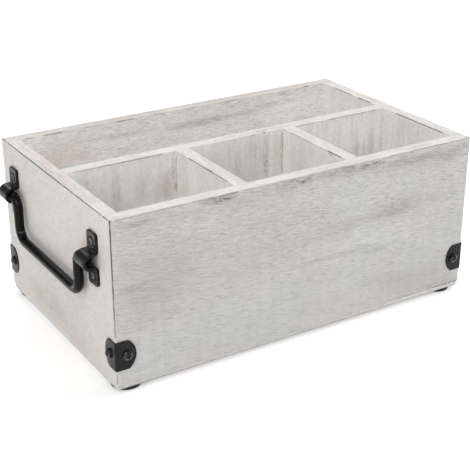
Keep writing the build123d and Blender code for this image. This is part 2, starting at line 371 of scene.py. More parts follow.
# Painted light: brightens the paint where the box should look more lit.
PAINTED_LIGHT = ((1.25, 1.25, 1.25, 1.0), "even")
SMOKE = ((0.60, 0.59, 0.59, 1.0), "streaks")
WARM_SMOKE = ((0.64, 0.58, 0.54, 1.0), "streaks")
UMBER = ((0.27, 0.235, 0.215, 1.0), "spots")


def grain_sizes(axis, along, across):
    """Sizes of the grain on the three axes."""
    sizes = [across, across, across]
    sizes["xyz".index(axis)] = along
    return sizes


class BoardPaint(Shader):
    """Nodes of a board's whitewash: where a point lies on the board, its grain, stains, wear, and painted
    light and shade.
    """

    def __init__(self, name, low, high, board, seed):
        super().__init__(name)
        self.low = low
        self.high = high
        self.board = board
        self.offset = tuple(seed * shift for shift in BOARD_SHIFT)
        self.point = self.place()
        self.swayed = self.sway_point()
        x, y, z = self.split(self.point)
        self.up = z
        self.on_rim = self.math("GREATER_THAN", z, RIM_TOP - EDGE_BAND)
        self.on_end = self.math("GREATER_THAN", self.math("ABSOLUTE", x), END_FACE - EDGE_BAND)
        thickness = {"x": x, "y": y, "z": z}[board["thickness"]]
        self.indoors = self.math("LESS_THAN", self.math("ABSOLUTE", thickness), board["outdoors"])
        self.strokes = self.along_grain(board["stroke"], END_STROKE, RIM_STROKE)
        self.bands = self.along_grain(board["band"], END_BAND, RIM_BAND)

    def sway_point(self):
        """The point moved a little to and fro, so that no stroke is quite straight."""
        swing = self.noise(self.point, *SWAY_NOISE, output="Color")
        sway = self.vector("SUBTRACT", swing, (NOISE_MIDDLE, NOISE_MIDDLE, NOISE_MIDDLE))
        return self.vector("ADD", self.point, self.vector("MULTIPLY", sway, (SWAY, SWAY, SWAY)))

    def on_surface(self, face, end, rim):
        """The value for a face, an outer end or the rim, whichever the point is on."""
        return self.choose(self.on_rim, self.choose(self.on_end, face, end), rim)

    def face_grain(self, size):
        sizes = grain_sizes(self.board["grain"], *size)
        return self.grain_place(self.swayed, sizes, self.board["turn"], self.offset)

    def along_grain(self, face_size, end_size, rim_size):
        """The point in strokes or bands along the grain of its surface."""
        end = self.grain_place(self.swayed, grain_sizes("y", *end_size), (END_TURN, 0.0, 0.0))
        rim_sizes = grain_sizes(self.board["length"], *rim_size)
        rim = self.grain_place(self.swayed, rim_sizes, offset=self.offset)
        return self.on_surface(self.face_grain(face_size), end, rim)

    def foot_to_rim(self, at_foot, at_rim):
        return self.ramp(self.up, self.low.z, self.high.z, at_foot, at_rim)

    def lay(self, tone, layer, middle, share):
        """Lighten the tone where a layer is above its middle, and darken it below."""
        return self.math("MULTIPLY_ADD", self.math("SUBTRACT", layer, middle), share, tone)

    def grain_tone(self, fine, dash):
        """Brightness from the strokes, hairs, bands, dashes and saw marks."""
        contrast = self.on_surface(self.board["contrast"], END_CONTRAST, RIM_CONTRAST)
        fine_share, band_share, dash_share = self.split(contrast)
        fade = self.math("MAXIMUM", self.foot_to_rim(*GRAIN_FADE), self.on_end)
        fine_share = self.math("MULTIPLY", fine_share, fade)
        tone = self.lay(1.0, fine, NOISE_MIDDLE, fine_share)
        tone = self.lay(tone, self.noise(self.strokes, *HAIR_NOISE), NOISE_MIDDLE, fine_share)
        tone = self.lay(tone, self.noise(self.bands, *BAND_NOISE), BAND_MIDDLE, band_share)
        tone = self.math("MULTIPLY_ADD", dash, self.math("MULTIPLY", dash_share, -1.0), tone)
        if self.board["grain"] == "x":
            saw = self.noise(self.grain_place(self.swayed, SAW_BAND, offset=self.offset), *SAW_NOISE)
            tone = self.lay(tone, saw, NOISE_MIDDLE, self.foot_to_rim(SAW_SHARE, 0.0))
        return tone

    def lit_and_shaded_paint(self, tone):
        """Paint of each surface at a tone, with painted light and shade set by the kind of surface, and
        with its patches.
        """
        # Painted light and shade: each kind of face gets its own brightness of the one whitewash.
        face = self.choose(self.indoors, OUTER_PAINT_SHADED[:3], INNER_PAINT_LIT[:3])
        paint = self.on_surface(face, END_PAINT_SHADED[:3], RIM_PAINT_LIT[:3])
        colour = self.vector("MULTIPLY", paint, self.join(tone, tone, tone))
        patches = self.noise(self.swayed, *PATCH_NOISE)
        for patch_ramp, tint in PATCHES:
            colour = self.mix(self.ramp(patches, *patch_ramp), colour, tint, "MULTIPLY")
        return colour

    def breakers(self):
        """What breaks up each kind of stain, and the painted light and shade laid on like stains."""
        streaks = self.noise(self.strokes, *STREAK_NOISE)
        spots = self.noise(self.face_grain(SMUDGE), *SMUDGE_NOISE)
        return {
            "even": self.ramp(streaks, *EVEN_RAMP),
            "streaks": self.ramp(streaks, *STREAK_RAMP),
            "spots": self.ramp(spots, *SPOT_RAMP),
        }

    def tint_mark(self, colour, breakers, mark):
        """Tint the paint inside a soft ellipsoid."""
        centre, half_size, (tint, kind), strength = mark
        inverse = tuple(1 / size for size in half_size)
        offset = self.vector("MULTIPLY", self.vector("SUBTRACT", self.point, centre), inverse)
        core = self.ramp(self.length(offset), TINT_CORE, 1.0, strength, 0.0)
        return self.mix(self.math("MULTIPLY", core, breakers[kind]), colour, tint, "MULTIPLY")

    def dark_arris_line(self, colour, breaker, line):
        """Darken the paint in a thin bar along an arris."""
        centre, half_size, strength = line
        fades = [min(ARRIS_LINE_FADE, ARRIS_LINE_SOFT_SHARE * size) for size in half_size]
        inner = tuple(size - fade for size, fade in zip(half_size, fades))
        inverse = tuple(1 / fade for fade in fades)
        away = self.vector("ABSOLUTE", self.vector("SUBTRACT", self.point, centre))
        x, y, z = self.split(self.vector("MULTIPLY", self.vector("SUBTRACT", away, inner), inverse))
        reach = self.math("MAXIMUM", x, self.math("MAXIMUM", y, z))
        core = self.ramp(reach, 0.0, 1.0, strength, 0.0)
        return self.mix(self.math("MULTIPLY", core, breaker), colour, BARE_EDGE_AND_SHADE, "MULTIPLY")

    def arris_distance(self):
        """Distance from the point to the nearest arris of its board."""
        away = self.vector("ABSOLUTE", self.vector("SUBTRACT", self.point, (self.low + self.high) / 2))
        x, y, z = self.split(self.vector("SUBTRACT", (self.high - self.low) / 2, away))
        smaller = self.math("MINIMUM", x, y)
        larger = self.math("MAXIMUM", x, y)
        return self.math("MAXIMUM", smaller, self.math("MINIMUM", larger, z))

    def rub_arrises(self, colour):
        """Rub every arris here and there, but not along the seam above the base board."""
        reach = self.ramp(self.arris_distance(), *RUB_REACH)
        spots = self.ramp(self.noise(self.swayed, *RUB_NOISE), *RUB_RAMP)
        off_seam = self.ramp(self.gap(self.up, SEAM_HEIGHT), *SEAM_REACH)
        rub = self.math("MULTIPLY", self.math("MULTIPLY", reach, spots), off_seam)
        return self.mix(rub, colour, BARE_EDGE_AND_SHADE, "MULTIPLY")


def whitewash(name, low, high, board, seed, marks, lines):
    """Thin white paint over a board, with its grain, brush strokes, stains, rubbed arrises, and painted
    light and shade.
    """
    shader = BoardPaint(name, low, high, board, seed)
    fine = shader.noise(shader.strokes, *FINE_NOISE)
    dash = shader.ramp(shader.noise(shader.strokes, *DASH_NOISE), *DASH_RAMP)
    colour = shader.lit_and_shaded_paint(shader.grain_tone(fine, dash))
    breakers = shader.breakers()
    for mark in marks:
        colour = shader.tint_mark(colour, breakers, mark)
    line_breakup = shader.ramp(shader.noise(shader.point, *LINE_BREAKUP_NOISE), *LINE_BREAKUP_RAMP)
    # Rubbed arrises, and lines of painted shade along arrises
    for line in lines:
        colour = shader.dark_arris_line(colour, line_breakup, line)
    shader.set("Base Color", shader.rub_arrises(colour))
    shader.set("Roughness", shader.ramp(fine, *NOISE_SPAN, *PAINT_ROUGHNESS))
    shader.set("Specular IOR Level", PAINT_GLOSS)
    shader.bump(shader.math("SUBTRACT", fine, shader.math("MULTIPLY", dash, DASH_DEPTH)), *PAINT_RELIEF)
    return shader.material


def rod_ring(shader, point):
    """Thin ring rubbed bare round the rear arm."""
    _, y, z = shader.split(point)
    ring = shader.ramp(shader.gap(z, RING_HEIGHT), *RING_REACH)
    return shader.math("MULTIPLY", ring, shader.math("GREATER_THAN", y, REAR_ARM))


def crown_highlight(shader, point):
    """Painted highlight on the crown of each strap screw's head, brighter and glossier than the rim round
    it.
    """
    _, y, z = shader.split(point)
    across = shader.math("SUBTRACT", shader.gap(y, STRAP_MIDDLE[0]), STRAP_REACH)
    up = shader.math("SUBTRACT", shader.gap(z, STRAP_MIDDLE[1]), STRAP_SCREW_RISE)
    away = shader.length(shader.join(across, up))
    return shader.ramp(away, CROWN_RADIUS, CROWN_RADIUS + CROWN_FADE, 1.0, 0.0)


def black_steel(name, level, roughness, gloss, wear_and_highlight=None, wear_and_highlight_level=0.0, wear_and_highlight_gloss=None):
    """Satin black paint with a slight mottle, lighter and perhaps glossier under a mask: wear on the rod's
    ring, a painted highlight on the crowns of the strap screws.
    """
    shader = Shader(name)
    point = shader.place()
    mottle = shader.noise(point, *STEEL_MOTTLE)
    cloud = shader.noise(point, *STEEL_CLOUD)
    lifted = grey(CLOUD_LIFT * level, CLOUD_WARMTH)
    paint = shader.mix(shader.ramp(cloud, *CLOUD_RAMP), grey(level), lifted)
    if wear_and_highlight:
        bare_and_highlight = wear_and_highlight(shader, point)
        paint = shader.mix(bare_and_highlight, paint, grey(wear_and_highlight_level))
        if wear_and_highlight_gloss:
            gloss = shader.math("MULTIPLY_ADD", bare_and_highlight, wear_and_highlight_gloss - gloss, gloss)
    shader.set("Base Color", paint)
    smoothest, roughest = (roughness + change for change in MOTTLE_ROUGHNESS)
    shader.set("Roughness", shader.ramp(mottle, *NOISE_SPAN, smoothest, roughest))
    shader.set("Specular IOR Level", gloss)
    shader.bump(mottle, *STEEL_RELIEF)
    return shader.material


def rubber(name):
    """Matte black rubber with a fine grain."""
    shader = Shader(name)
    speckle = shader.noise(shader.place(), *SPECKLE)
    dark, light = (grey(level) for level in RUBBER_LEVELS)
    shader.set("Base Color", shader.mix(shader.ramp(speckle, *SPECKLE_RAMP), dark, light))
    shader.set("Roughness", shader.ramp(speckle, *NOISE_SPAN, *RUBBER_ROUGHNESS))
    shader.bump(speckle, *RUBBER_RELIEF)
    return shader.material


def bare_steel(name):
    """Plain steel of the brads, with scratches along them."""
    shader = Shader(name)
    scratch = shader.noise(shader.grain_place(shader.place(), SCRATCH), *SCRATCH_NOISE)
    dark, light = (grey(level, BARE_WARMTH) for level in BARE_LEVELS)
    shader.set("Base Color", shader.mix(scratch, dark, light))
    shader.set("Metallic", 1.0)
    shader.set("Roughness", shader.ramp(scratch, *NOISE_SPAN, *BARE_ROUGHNESS))
    shader.bump(scratch, *BARE_RELIEF)
    return shader.material


# Boards


def board_lines(low, high):
    """Grid positions along one axis, close together near both ends."""
    edge = [step for step in ARRIS_STEPS if step < (high - low) / 2]
    start = low + edge[-1]
    end = high - edge[-1]
    count = max(1, round((end - start) / BOARD_STEP))
    middle = [start + (end - start) * i / count for i in range(1, count)]
    return [low + step for step in edge] + middle + [high - step for step in reversed(edge)]


def arris_radius(radii, chips, pair, along):
    """Radius of the arris between two sides at a place along it."""
    base = radii.get(pair, JOINT_EASE)
    wave = noise.noise(Vector((along * EASE_WAVES, base * EASE_ROW, 0)))
    radius = base * (1 + EASE_SWAY * wave)
    for chip_pair, centre, half_length, depth in chips:
        reach = abs(along - centre) / half_length
        if chip_pair == pair and reach < 1:
            wave = noise.noise(Vector((along * CHIP_WAVES, 0, CHIP_ROW)))
            radius += depth * (1 - reach * reach) * (1 + CHIP_SWAY * wave)
    return radius


def nearer_side(value, low, high):
    """Sign of the side of a box that a value is nearer to, and the way inward from there."""
    return ("-", 1) if value - low < high - value else ("+", -1)


def round_arrises(point, low, high, radii, chips):
    """Move a point of a box's surface onto its rounded arrises."""
    moved = list(point)
    for first, second, third in ((0, 1, 2), (0, 2, 1), (1, 2, 0)):
        ends = [(axis, *nearer_side(point[axis], low[axis], high[axis])) for axis in (first, second)]
        pair = frozenset(sign + "xyz"[axis] for axis, sign, _ in ends)
        radius = arris_radius(radii, chips, pair, point[third])
        rests = [radius - min(moved[axis] - low[axis], high[axis] - moved[axis]) for axis, _, _ in ends]
        if min(rests) <= 0:
            continue
        shrink = max(rests) / hypot(*rests)
        for (axis, _, inward), rest in zip(ends, rests):
            moved[axis] += inward * rest * (1 - shrink)
    return moved


def board_surface(low, high, radii, chips):
    """Points and faces of a box's surface with worn arrises."""
    lines = [board_lines(low[axis], high[axis]) for axis in range(3)]
    indices = {}
    points = []

    def vertex(key):
        if key not in indices:
            indices[key] = len(points)
            point = [lines[axis][key[axis]] for axis in range(3)]
            points.append(round_arrises(point, low, high, radii, chips))
        return indices[key]

    faces = []
    for axis in range(3):
        first, second = (axis + 1) % 3, (axis + 2) % 3
        cells = list(product(range(len(lines[first]) - 1), range(len(lines[second]) - 1)))
        for level, flip in ((0, True), (len(lines[axis]) - 1, False)):
            for i, j in cells:
                corners = []
                for di, dj in ((0, 0), (1, 0), (1, 1), (0, 1)):
                    key = [0, 0, 0]
                    key[axis] = level
                    key[first] = i + di
                    key[second] = j + dj
                    corners.append(vertex(tuple(key)))
                faces.append(corners[::-1] if flip else corners)
    return points, faces


def worn_board(name, node, material, radii, chips=()):
    """A board with its own worn arrises, in place of a node."""
    points, faces = board_surface(*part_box(node), radii, chips)
    mesh = bpy.data.meshes.new(name)
    mesh.from_pydata(points, [], faces)
    mesh.shade_smooth()
    mesh.materials.append(material)
    dress_node(name, mesh, node)


def sides(*names):
    return frozenset(names)


def long_panel_radii(outer, inner):
    radii = {sides(outer, end): OUTER_EASE for end in ("-x", "+x", "+z")}
    radii[sides(inner, "+z")] = RIM_EASE
    radii[sides("-x", "+z")] = RIM_EASE
    radii[sides("+x", "+z")] = RIM_EASE
    return radii


def divider_radii(across):
    return {sides("-" + across, "+z"): RIM_EASE, sides("+" + across, "+z"): RIM_EASE}


def end_panel_radii(outer, inner):
    return {sides(outer, "+z"): OUTER_EASE, sides(inner, "+z"): RIM_EASE}


def sheet_radii():
    """Rounded upright corners, and eased edges underneath."""
    radii = {sides(side, end): SHEET_CORNER for side in ("-x", "+x") for end in ("-y", "+y")}
    for side in ("-x", "+x", "-y", "+y"):
        radii[sides(side, "-z")] = SHEET_EASE
    return radii


MM = 0.001

# Stains, painted shade and painted light on a face, in mm: along from its left end, below the rim, half
# length, half height, tint, strength
FRONT_STAINS_LIGHT_AND_SHADE = (
    (30, 52, 62, 56, DUSK, 0.95),
    (110, 45, 120, 50, DUSK, 0.70),
    (120, 6, 150, 12, DUSK, 0.80),
    (285, 12, 80, 12, DUSK, 0.60),
    (22, 12, 44, 16, SHADE, 0.40),
    (20, 11, 36, 10, ROSE, 0.30),
    (24, 66, 34, 20, WARM_SMOKE, 0.26),
    (18, 58, 20, 5, SMOKE, 0.42),
    (22, 7, 22, 3.2, SMOKE, 0.60),
    (90, 3.5, 20, 4.5, UMBER, 0.55),
    (97, 3, 12, 2.6, UMBER, 0.60),
    (92, 4, 22, 4, SMOKE, 0.46),
    (158, 4, 26, 6, UMBER, 0.42),
    (168, 3.5, 12, 4, UMBER, 0.62),
    (160, 5, 28, 6, SMOKE, 0.32),
    (216, 4, 44, 6, UMBER, 0.36),
    (212, 4, 50, 6, SMOKE, 0.34),
    (240, 3.5, 16, 3.4, UMBER, 0.60),
    (262, 9, 75, 8, ROSE, 0.45),
    (270, 8, 34, 5, SMOKE, 0.40),
    (300, 8, 40, 6, SMOKE, 0.34),
    (322, 14, 22, 5, SMOKE, 0.46),
    (308, 10, 36, 8, UMBER, 0.22),
    (330, 6, 14, 4, SMOKE, 0.35),
    (256, 48, 36, 11, SMOKE, 0.44),
    (280, 48, 42, 9, SMOKE, 0.26),
    (262, 48, 30, 9, UMBER, 0.10),
    (208, 24, 28, 10, MOSS, 0.25),
    (205, 51, 52, 7, WARM_SMOKE, 0.26),
    (196, 55.5, 38, 3.4, SMOKE, 0.32),
    (200, 77, 56, 3.4, SMOKE, 0.45),
    (242, 82, 20, 4, SMOKE, 0.42),
    (124, 69, 34, 7, ROSE, 0.35),
    (60, 86, 70, 8, DUSK, 0.40),
    (90, 129, 15, 3, SMOKE, 0.30),
    (120, 112, 110, 28, MOSS, 0.35),
    (290, 118, 56, 14, SHADE, 0.75),
    (250, 112, 40, 8, SMOKE, 0.20),
    (322, 130, 18, 7, TAN, 0.22),
    (300, 128, 44, 7, SHADE, 0.55),
    (318, 133, 34, 3, SMOKE, 0.45),
    # Painted light over the right half of the front, at two heights
    (250, 70, 90, 14, PAINTED_LIGHT, 0.16),
    (250, 28, 80, 8, PAINTED_LIGHT, 0.10),
)
REAR_INSIDE_STAINS_LIGHT_AND_SHADE = (
    (140, 20, 240, 36, SHADE, 0.22),
    (42, 19, 44, 18, ROSE, 0.68),
    (30, 24, 34, 14, BEIGE, 0.50),
    (47, 11, 9, 4, TAN, 0.18),
    (62, 26, 18, 7, ROSE, 0.50),
    (90, 13.5, 50, 4.6, SMOKE, 0.46),
    (98, 14, 16, 3, UMBER, 0.14),
    (152, 16, 18, 5.5, SMOKE, 0.28),
    (176, 16, 42, 5.5, WARM_SMOKE, 0.50),
    (190, 15, 34, 4.5, SMOKE, 0.28),
    (178, 15, 36, 5, UMBER, 0.16),
    (176, 18.5, 11, 2.2, TAN, 0.42),
    (222, 15, 26, 3.8, WARM_SMOKE, 0.55),
    (214, 16, 30, 3, UMBER, 0.16),
    (268, 12, 40, 5, WARM_SMOKE, 0.34),
    (248, 12, 20, 3.5, SMOKE, 0.20),
    # Painted light at the right end of the rear wall's inside
    (278, 22, 56, 20, PAINTED_LIGHT, 0.58),
    (262, 22, 40, 7, MOSS, 0.40),
    (120, 25, 50, 8, MOSS, 0.50),
    (92, 29, 16, 5, SMOKE, 0.22),
    (38, 1.0, 10, 1.5, UMBER, 0.30),
    (93, 1.0, 18, 1.2, UMBER, 0.22),
)
DIVIDER_FRONT_STAINS_LIGHT_AND_SHADE = (
    (50, 28, 62, 30, SHADE, 0.60),
    (158, 24, 62, 28, SHADE, 0.90),
    # Painted light at the right end of the divider's front
    (270, 20, 64, 30, PAINTED_LIGHT, 0.44),
    (14, 12, 12, 12, SMOKE, 0.20),
    (20, 20, 22, 30, MOSS, 0.50),
    (26, 12, 2, 12, SMOKE, 0.20),
    (40.5, 20, 1.5, 22, SMOKE, 0.28),
    (43, 22, 7, 28, HAZE, 0.38),
    (43, 32, 8, 14, ROSE, 0.60),
    (45, 24, 2.4, 17, SMOKE, 0.34),
    (64.5, 29, 8, 16, HAZE, 0.50),
    (66, 30, 3, 11, SMOKE, 0.18),
    (65, 12, 2, 12, SMOKE, 0.22),
    (80, 33, 6, 14, HAZE, 0.50),
    (83, 14, 2, 14, SMOKE, 0.20),
    (91, 30, 12, 21, HAZE, 0.85),
    (88, 31, 5, 12, ROSE, 0.60),
    (95.6, 14, 2.6, 17, WARM_SMOKE, 0.62),
    (96.8, 31, 2, 6, SMOKE, 0.62),
    (128, 26, 20, 30, BEIGE, 0.55),
    (149.8, 13, 2.6, 13, SMOKE, 0.42),
    (158.4, 22, 4, 16, SMOKE, 0.36),
    (158, 24, 5, 14, MOSS, 0.50),
    (174, 14, 10, 20, BEIGE, 0.40),
    (171, 10, 1.5, 11, SMOKE, 0.30),
    (176, 20, 2.2, 15, SMOKE, 0.38),
    (187, 18, 5, 26, SMOKE, 0.40),
    (188, 31, 3.4, 14, WARM_SMOKE, 0.62),
    (198, 14, 6, 14, TAN, 0.30),
    (198, 26, 7, 20, BEIGE, 0.60),
    # Painted shade down the corner by the right cross divider
    (203.5, 20, 3, 26, WARM_SMOKE, 0.50),
    (235.6, 5, 1.2, 5, TAN, 0.40),
    (242, 9, 2.8, 10, SMOKE, 0.30),
    (232, 16, 5, 26, MOSS, 0.75),
    (262, 18, 10, 26, MOSS, 0.45),
    (280, 12, 1.8, 14, SMOKE, 0.28),
    (259, 17, 3, 8, TAN, 0.28),
    (266, 20, 2.6, 22, HAZE, 0.28),
    (284, 24, 6, 24, HAZE, 0.40),
    (287.5, 33, 3.4, 12, WARM_SMOKE, 0.42),
    (295, 33, 2, 11, SMOKE, 0.55),
    (303, 30, 6, 18, HAZE, 0.55),
    # Painted shade down the corner by the right end panel
    (315, 26, 3.8, 22, SMOKE, 0.50),
)
LEFT_CROSS_STAINS_AND_LIGHT = (
    # Painted light over most of the face
    (45, 20, 60, 24, PAINTED_LIGHT, 0.15),
    (18, 26, 20, 16, TAN, 0.22),
    (50, 16, 22, 14, ROSE, 0.25),
)
RIGHT_CROSS_STAINS_AND_SHADE = (
    (45, 20, 60, 24, SHADE, 0.50),
    (22, 22, 18, 14, ROSE, 0.60),
    (12, 34, 6, 14, TAN, 0.20),
    (70, 2.2, 7, 1.6, UMBER, 0.75),
    (64, 6, 6, 4, TAN, 0.20),
)
RIGHT_INSIDE_STAINS_LIGHT_AND_SHADE = (
    (130, 20, 60, 24, SHADE, 0.40),
    # Painted light over the rear part of the face
    (36, 14, 50, 26, PAINTED_LIGHT, 0.13),
    (60, 14, 8, 9, SMOKE, 0.22),
    (104, 20, 9, 26, MOSS, 0.30),
    (120, 18, 6, 24, WARM_SMOKE, 0.22),
    (60, 40, 10, 16, ROSE, 0.50),
    (28, 30, 5, 26, MOSS, 0.35),
    (76, 46, 6, 14, TAN, 0.35),
)
LEFT_OUTSIDE_STAINS_AND_SHADE = (
    (56, 120, 20, 14, ROSE, 0.60),
    (98, 119, 22, 14, ROSE, 0.55),
    (76, 114, 6, 9, TAN, 0.30),
    (100, 118, 120, 22, BEIGE, 0.50),
    (60, 30, 60, 10, SMOKE, 0.08),
    (120, 50, 44, 8, SMOKE, 0.10),
    (140, 102, 8, 9, ROSE, 0.25),
    (100, 130, 120, 20, SHADE, 0.35),
)
# Painted light along the lower right of the base board's front
BASE_PAINTED_LIGHT = ((290, 138, 80, 6, PAINTED_LIGHT, 0.60),)
BACK_STAINS = (
    (60, 30, 60, 12, SMOKE, 0.22),
    (150, 4, 30, 3, UMBER, 0.30),
    (210, 70, 70, 9, SMOKE, 0.30),
    (290, 24, 40, 10, ROSE, 0.60),
    (120, 100, 80, 20, BEIGE, 0.60),
    (300, 118, 34, 7, SMOKE, 0.25),
    (34, 90, 24, 8, WARM_SMOKE, 0.28),
)
RIGHT_OUTSIDE_STAINS = (
    (50, 110, 26, 16, ROSE, 0.50),
    (130, 40, 50, 14, BEIGE, 0.60),
    (160, 122, 30, 8, SMOKE, 0.18),
)

# Stains and painted shade on a rim, in mm: x, y, half sizes, tint, strength
RIM_STAINS_AND_SHADE = {
    "rear_panel": (
        # Painted shade over the whole rear rim, laid on twice
        (0, 98, 260, 14, SHADE, 1.00),
        (0, 98, 260, 14, SHADE, 0.45),
        (-60, 98, 50, 5, BEIGE, 0.60),
        (90, 98, 40, 4, BEIGE, 0.50),
    ),
    "left_end_panel": (
        (-164, 0, 9, 110, ROSE, 0.45),
        (-164, 20, 9, 50, ROSE, 0.50),
        (-164, -40, 9, 34, BEIGE, 0.50),
        (-164, 70, 8, 30, BEIGE, 0.40),
    ),
    "front_panel": (
        (-90, -98, 20, 4, BEIGE, 0.80),
        (20, -98, 34, 5, ROSE, 0.35),
        (110, -98, 30, 4, BEIGE, 0.70),
    ),
    "long_divider": (
        (28, 4, 9, 4, WARM_SMOKE, 0.40),
        (20, 4, 60, 6, ROSE, 0.55),
        (110, 4, 40, 6, BEIGE, 0.50),
    ),
    "right_end_panel": (
        (164, 30, 7, 30, BEIGE, 0.60),
        (164, -50, 7, 26, ROSE, 0.30),
    ),
    "left_cross_divider": (
        (-53, -60, 7, 26, ROSE, 0.40),
    ),
    "right_cross_divider": (
        (53, -40, 7, 30, BEIGE, 0.40),
    ),
}


# Dark lines where the paint is rubbed off an arris, and lines of painted shade along an arris, in mm:
# from, to, strength
RUBBED_AND_SHADED_ARRISES = {
    "left_end_panel": (
        ((-170, 93, 144), (-170, -93, 144), 0.72),
        ((-170, 66, 144), (-170, -20, 144), 0.35),
    ),
    "front_panel": (
        ((-170, -91, 144), (-170, -104, 144), 0.90),
        ((-170, -104, 147), (-170, -104, 84), 0.95),
        ((-170, -104, 150), (-170, -104, 130), 0.60),
        ((-170, -104, 90), (-170, -104, 64), 0.85),
        ((-170, -104, 70), (-170, -104, 47), 0.55),
        ((-170, -104, 20), (-170, -104, 8), 0.55),
        ((-172, -106, 146), (-167.8, -101.8, 142), 0.85),
        ((171, -105, 144), (167.5, -101.5, 144), 0.95),
        ((170, -104, 140), (170, -104, 8), 0.45),
        # Painted shade: a thin dark line along the rounding under the front's top arris
        ((-168, -104, 143.6), (-60, -104, 143.6), 0.38),
        ((-98, -104, 143.6), (-62, -104, 143.6), 0.25),
        ((-60, -104, 143.6), (90, -104, 143.6), 0.22),
        ((80, -104, 143.6), (169, -104, 143.6), 0.34),
        ((-168, -104, 8), (110, -104, 8), 0.04),
        ((104, -104, 8), (172, -104, 8), 0.35),
        ((138, -104, 8), (172, -104, 8), 0.75),
    ),
    "rear_panel": (
        ((-170, 104, 144), (-170, 91, 144), 0.90),
        ((-170, 104, 144), (-170, 104, 60), 0.30),
        ((-156, 92, 144), (-144, 92, 144), 0.40),
        ((-138, 92, 144), (-118, 92, 144), 0.60),
        ((-100, 92, 144), (-80, 92, 144), 0.35),
        ((-69, 92, 144), (-49, 92, 144), 0.55),
        ((-31, 92, 144), (-21, 92, 144), 0.50),
        ((41, 92, 144), (60, 92, 144), 0.45),
        ((132, 92, 144), (142, 92, 144), 0.60),
    ),
    "long_divider": (
        ((-154, -2, 144), (-120, -2, 144), 0.45),
        ((-126, -2, 144), (-96, -2, 144), 0.55),
        ((-100, -2, 144), (-70, -2, 144), 0.60),
        ((-59.6, -2, 141), (-59.6, -2, 110), 0.26),
        ((-59.6, -2, 116), (-59.6, -2, 106), 0.30),
        ((46.4, -2, 143), (46.4, -2, 100), 0.34),
        ((27, -2.5, 144), (28.5, 0.5, 144), 1.00),
        ((24.5, -0.5, 144), (27.5, 1.5, 144), 0.70),
        ((21, 1.5, 144), (25.5, 3.0, 144), 0.50),
        ((64, -2, 144), (84, -2, 144), 0.35),
        ((92, -2, 144), (150, -2, 144), 0.45),
    ),
    "left_cross_divider": (
        ((-59, -20, 144), (-59, -62, 144), 0.62),
        ((-59, -50, 144), (-59, -84, 144), 0.55),
    ),
    "right_cross_divider": (
        ((47, -12, 144), (47, -46, 144), 0.40),
        ((47, -66, 144), (47, -88, 144), 1.00),
    ),
    "right_end_panel": (
        ((158, 76, 144), (158, 44, 144), 0.55),
        ((158, 38, 144), (158, 16, 144), 0.80),
        ((158, -18, 144), (158, -84, 144), 0.75),
    ),
}

# Chips off an arris: its two sides, place along it, half length and depth
CHIPS = {
    "front_panel": (
        (("-y", "+z"), -0.078, 0.013, 0.0006),
        (("-y", "+z"), -0.0815, 0.0022, 0.0010),
        (("-y", "+z"), -0.010, 0.012, 0.0005),
        (("-y", "+z"), 0.068, 0.010, 0.0004),
    ),
    "long_divider": ((("-y", "+z"), 0.028, 0.0016, 0.0016),),
    "left_cross_divider": ((("-x", "+z"), -0.040, 0.012, 0.0005),),
    "right_cross_divider": ((("-x", "+z"), -0.075, 0.006, 0.0009),),
    "right_end_panel": ((("-x", "+z"), 0.024, 0.008, 0.0006), (("-x", "+z"), -0.055, 0.018, 0.0004)),
}


def sheet_shade_and_seam_lines():
    """Dark lines along the base board's edges: painted shade along its foot, and a faint dark seam along
    its top.
    """
    low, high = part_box("base_board")
    centre = (low + high) / 2
    half = (high - low) / 2
    lines = []
    for side in (-1, 1):
        for level, strength in ((low.z, SHEET_FOOT_SHADE), (high.z, SHEET_SEAM_LINE)):
            front = (centre.x, centre.y + side * half.y, level)
            end = (centre.x + side * half.x, centre.y, level)
            lines.append((front, (half.x, ARRIS_LINE_WIDTH, ARRIS_LINE_WIDTH), strength))
            lines.append((end, (ARRIS_LINE_WIDTH, half.y, ARRIS_LINE_WIDTH), strength))
    return lines


def facing_front(x_start, y):
    """Turns a stain's along and below into a place on a face that looks along Y."""
    return lambda along, below: ((x_start + along * MM, y, RIM_TOP - below * MM), 0)


def facing_side(x, y_start):
    """The same on a face that looks along X."""
    return lambda along, below: ((x, y_start - along * MM, RIM_TOP - below * MM), 1)


def face_marks(stains_light_and_shade, to_place):
    """Stains, painted shade and painted light of one face, as marks in the frame."""
    marks = []
    for along, below, half_along, half_below, tint, strength in stains_light_and_shade:
        centre, axis = to_place(along, below)
        half_size = [TINT_DEPTH, TINT_DEPTH, half_below * MM]
        half_size[axis] = half_along * MM
        marks.append((centre, half_size, tint, strength))
    return marks


def rim_marks(node):
    """Stains and painted shade on one board's rim, as marks in the frame."""
    marks = []
    for x, y, half_x, half_y, tint, strength in RIM_STAINS_AND_SHADE.get(node, ()):
        half_size = (half_x * MM, half_y * MM, RIM_TINT_DEPTH)
        marks.append(((x * MM, y * MM, RIM_TOP), half_size, tint, strength))
    return marks


def arris_lines(node):
    """Rubbed arrises and lines of painted shade of one board, as bars in the frame."""
    lines = []
    for start, end, strength in RUBBED_AND_SHADED_ARRISES.get(node, ()):
        first, last = Vector(start) * MM, Vector(end) * MM
        half_size = [max(abs(a - b) / 2, ARRIS_LINE_WIDTH) for a, b in zip(first, last)]
        lines.append(((first + last) / 2, half_size, strength))
    return lines


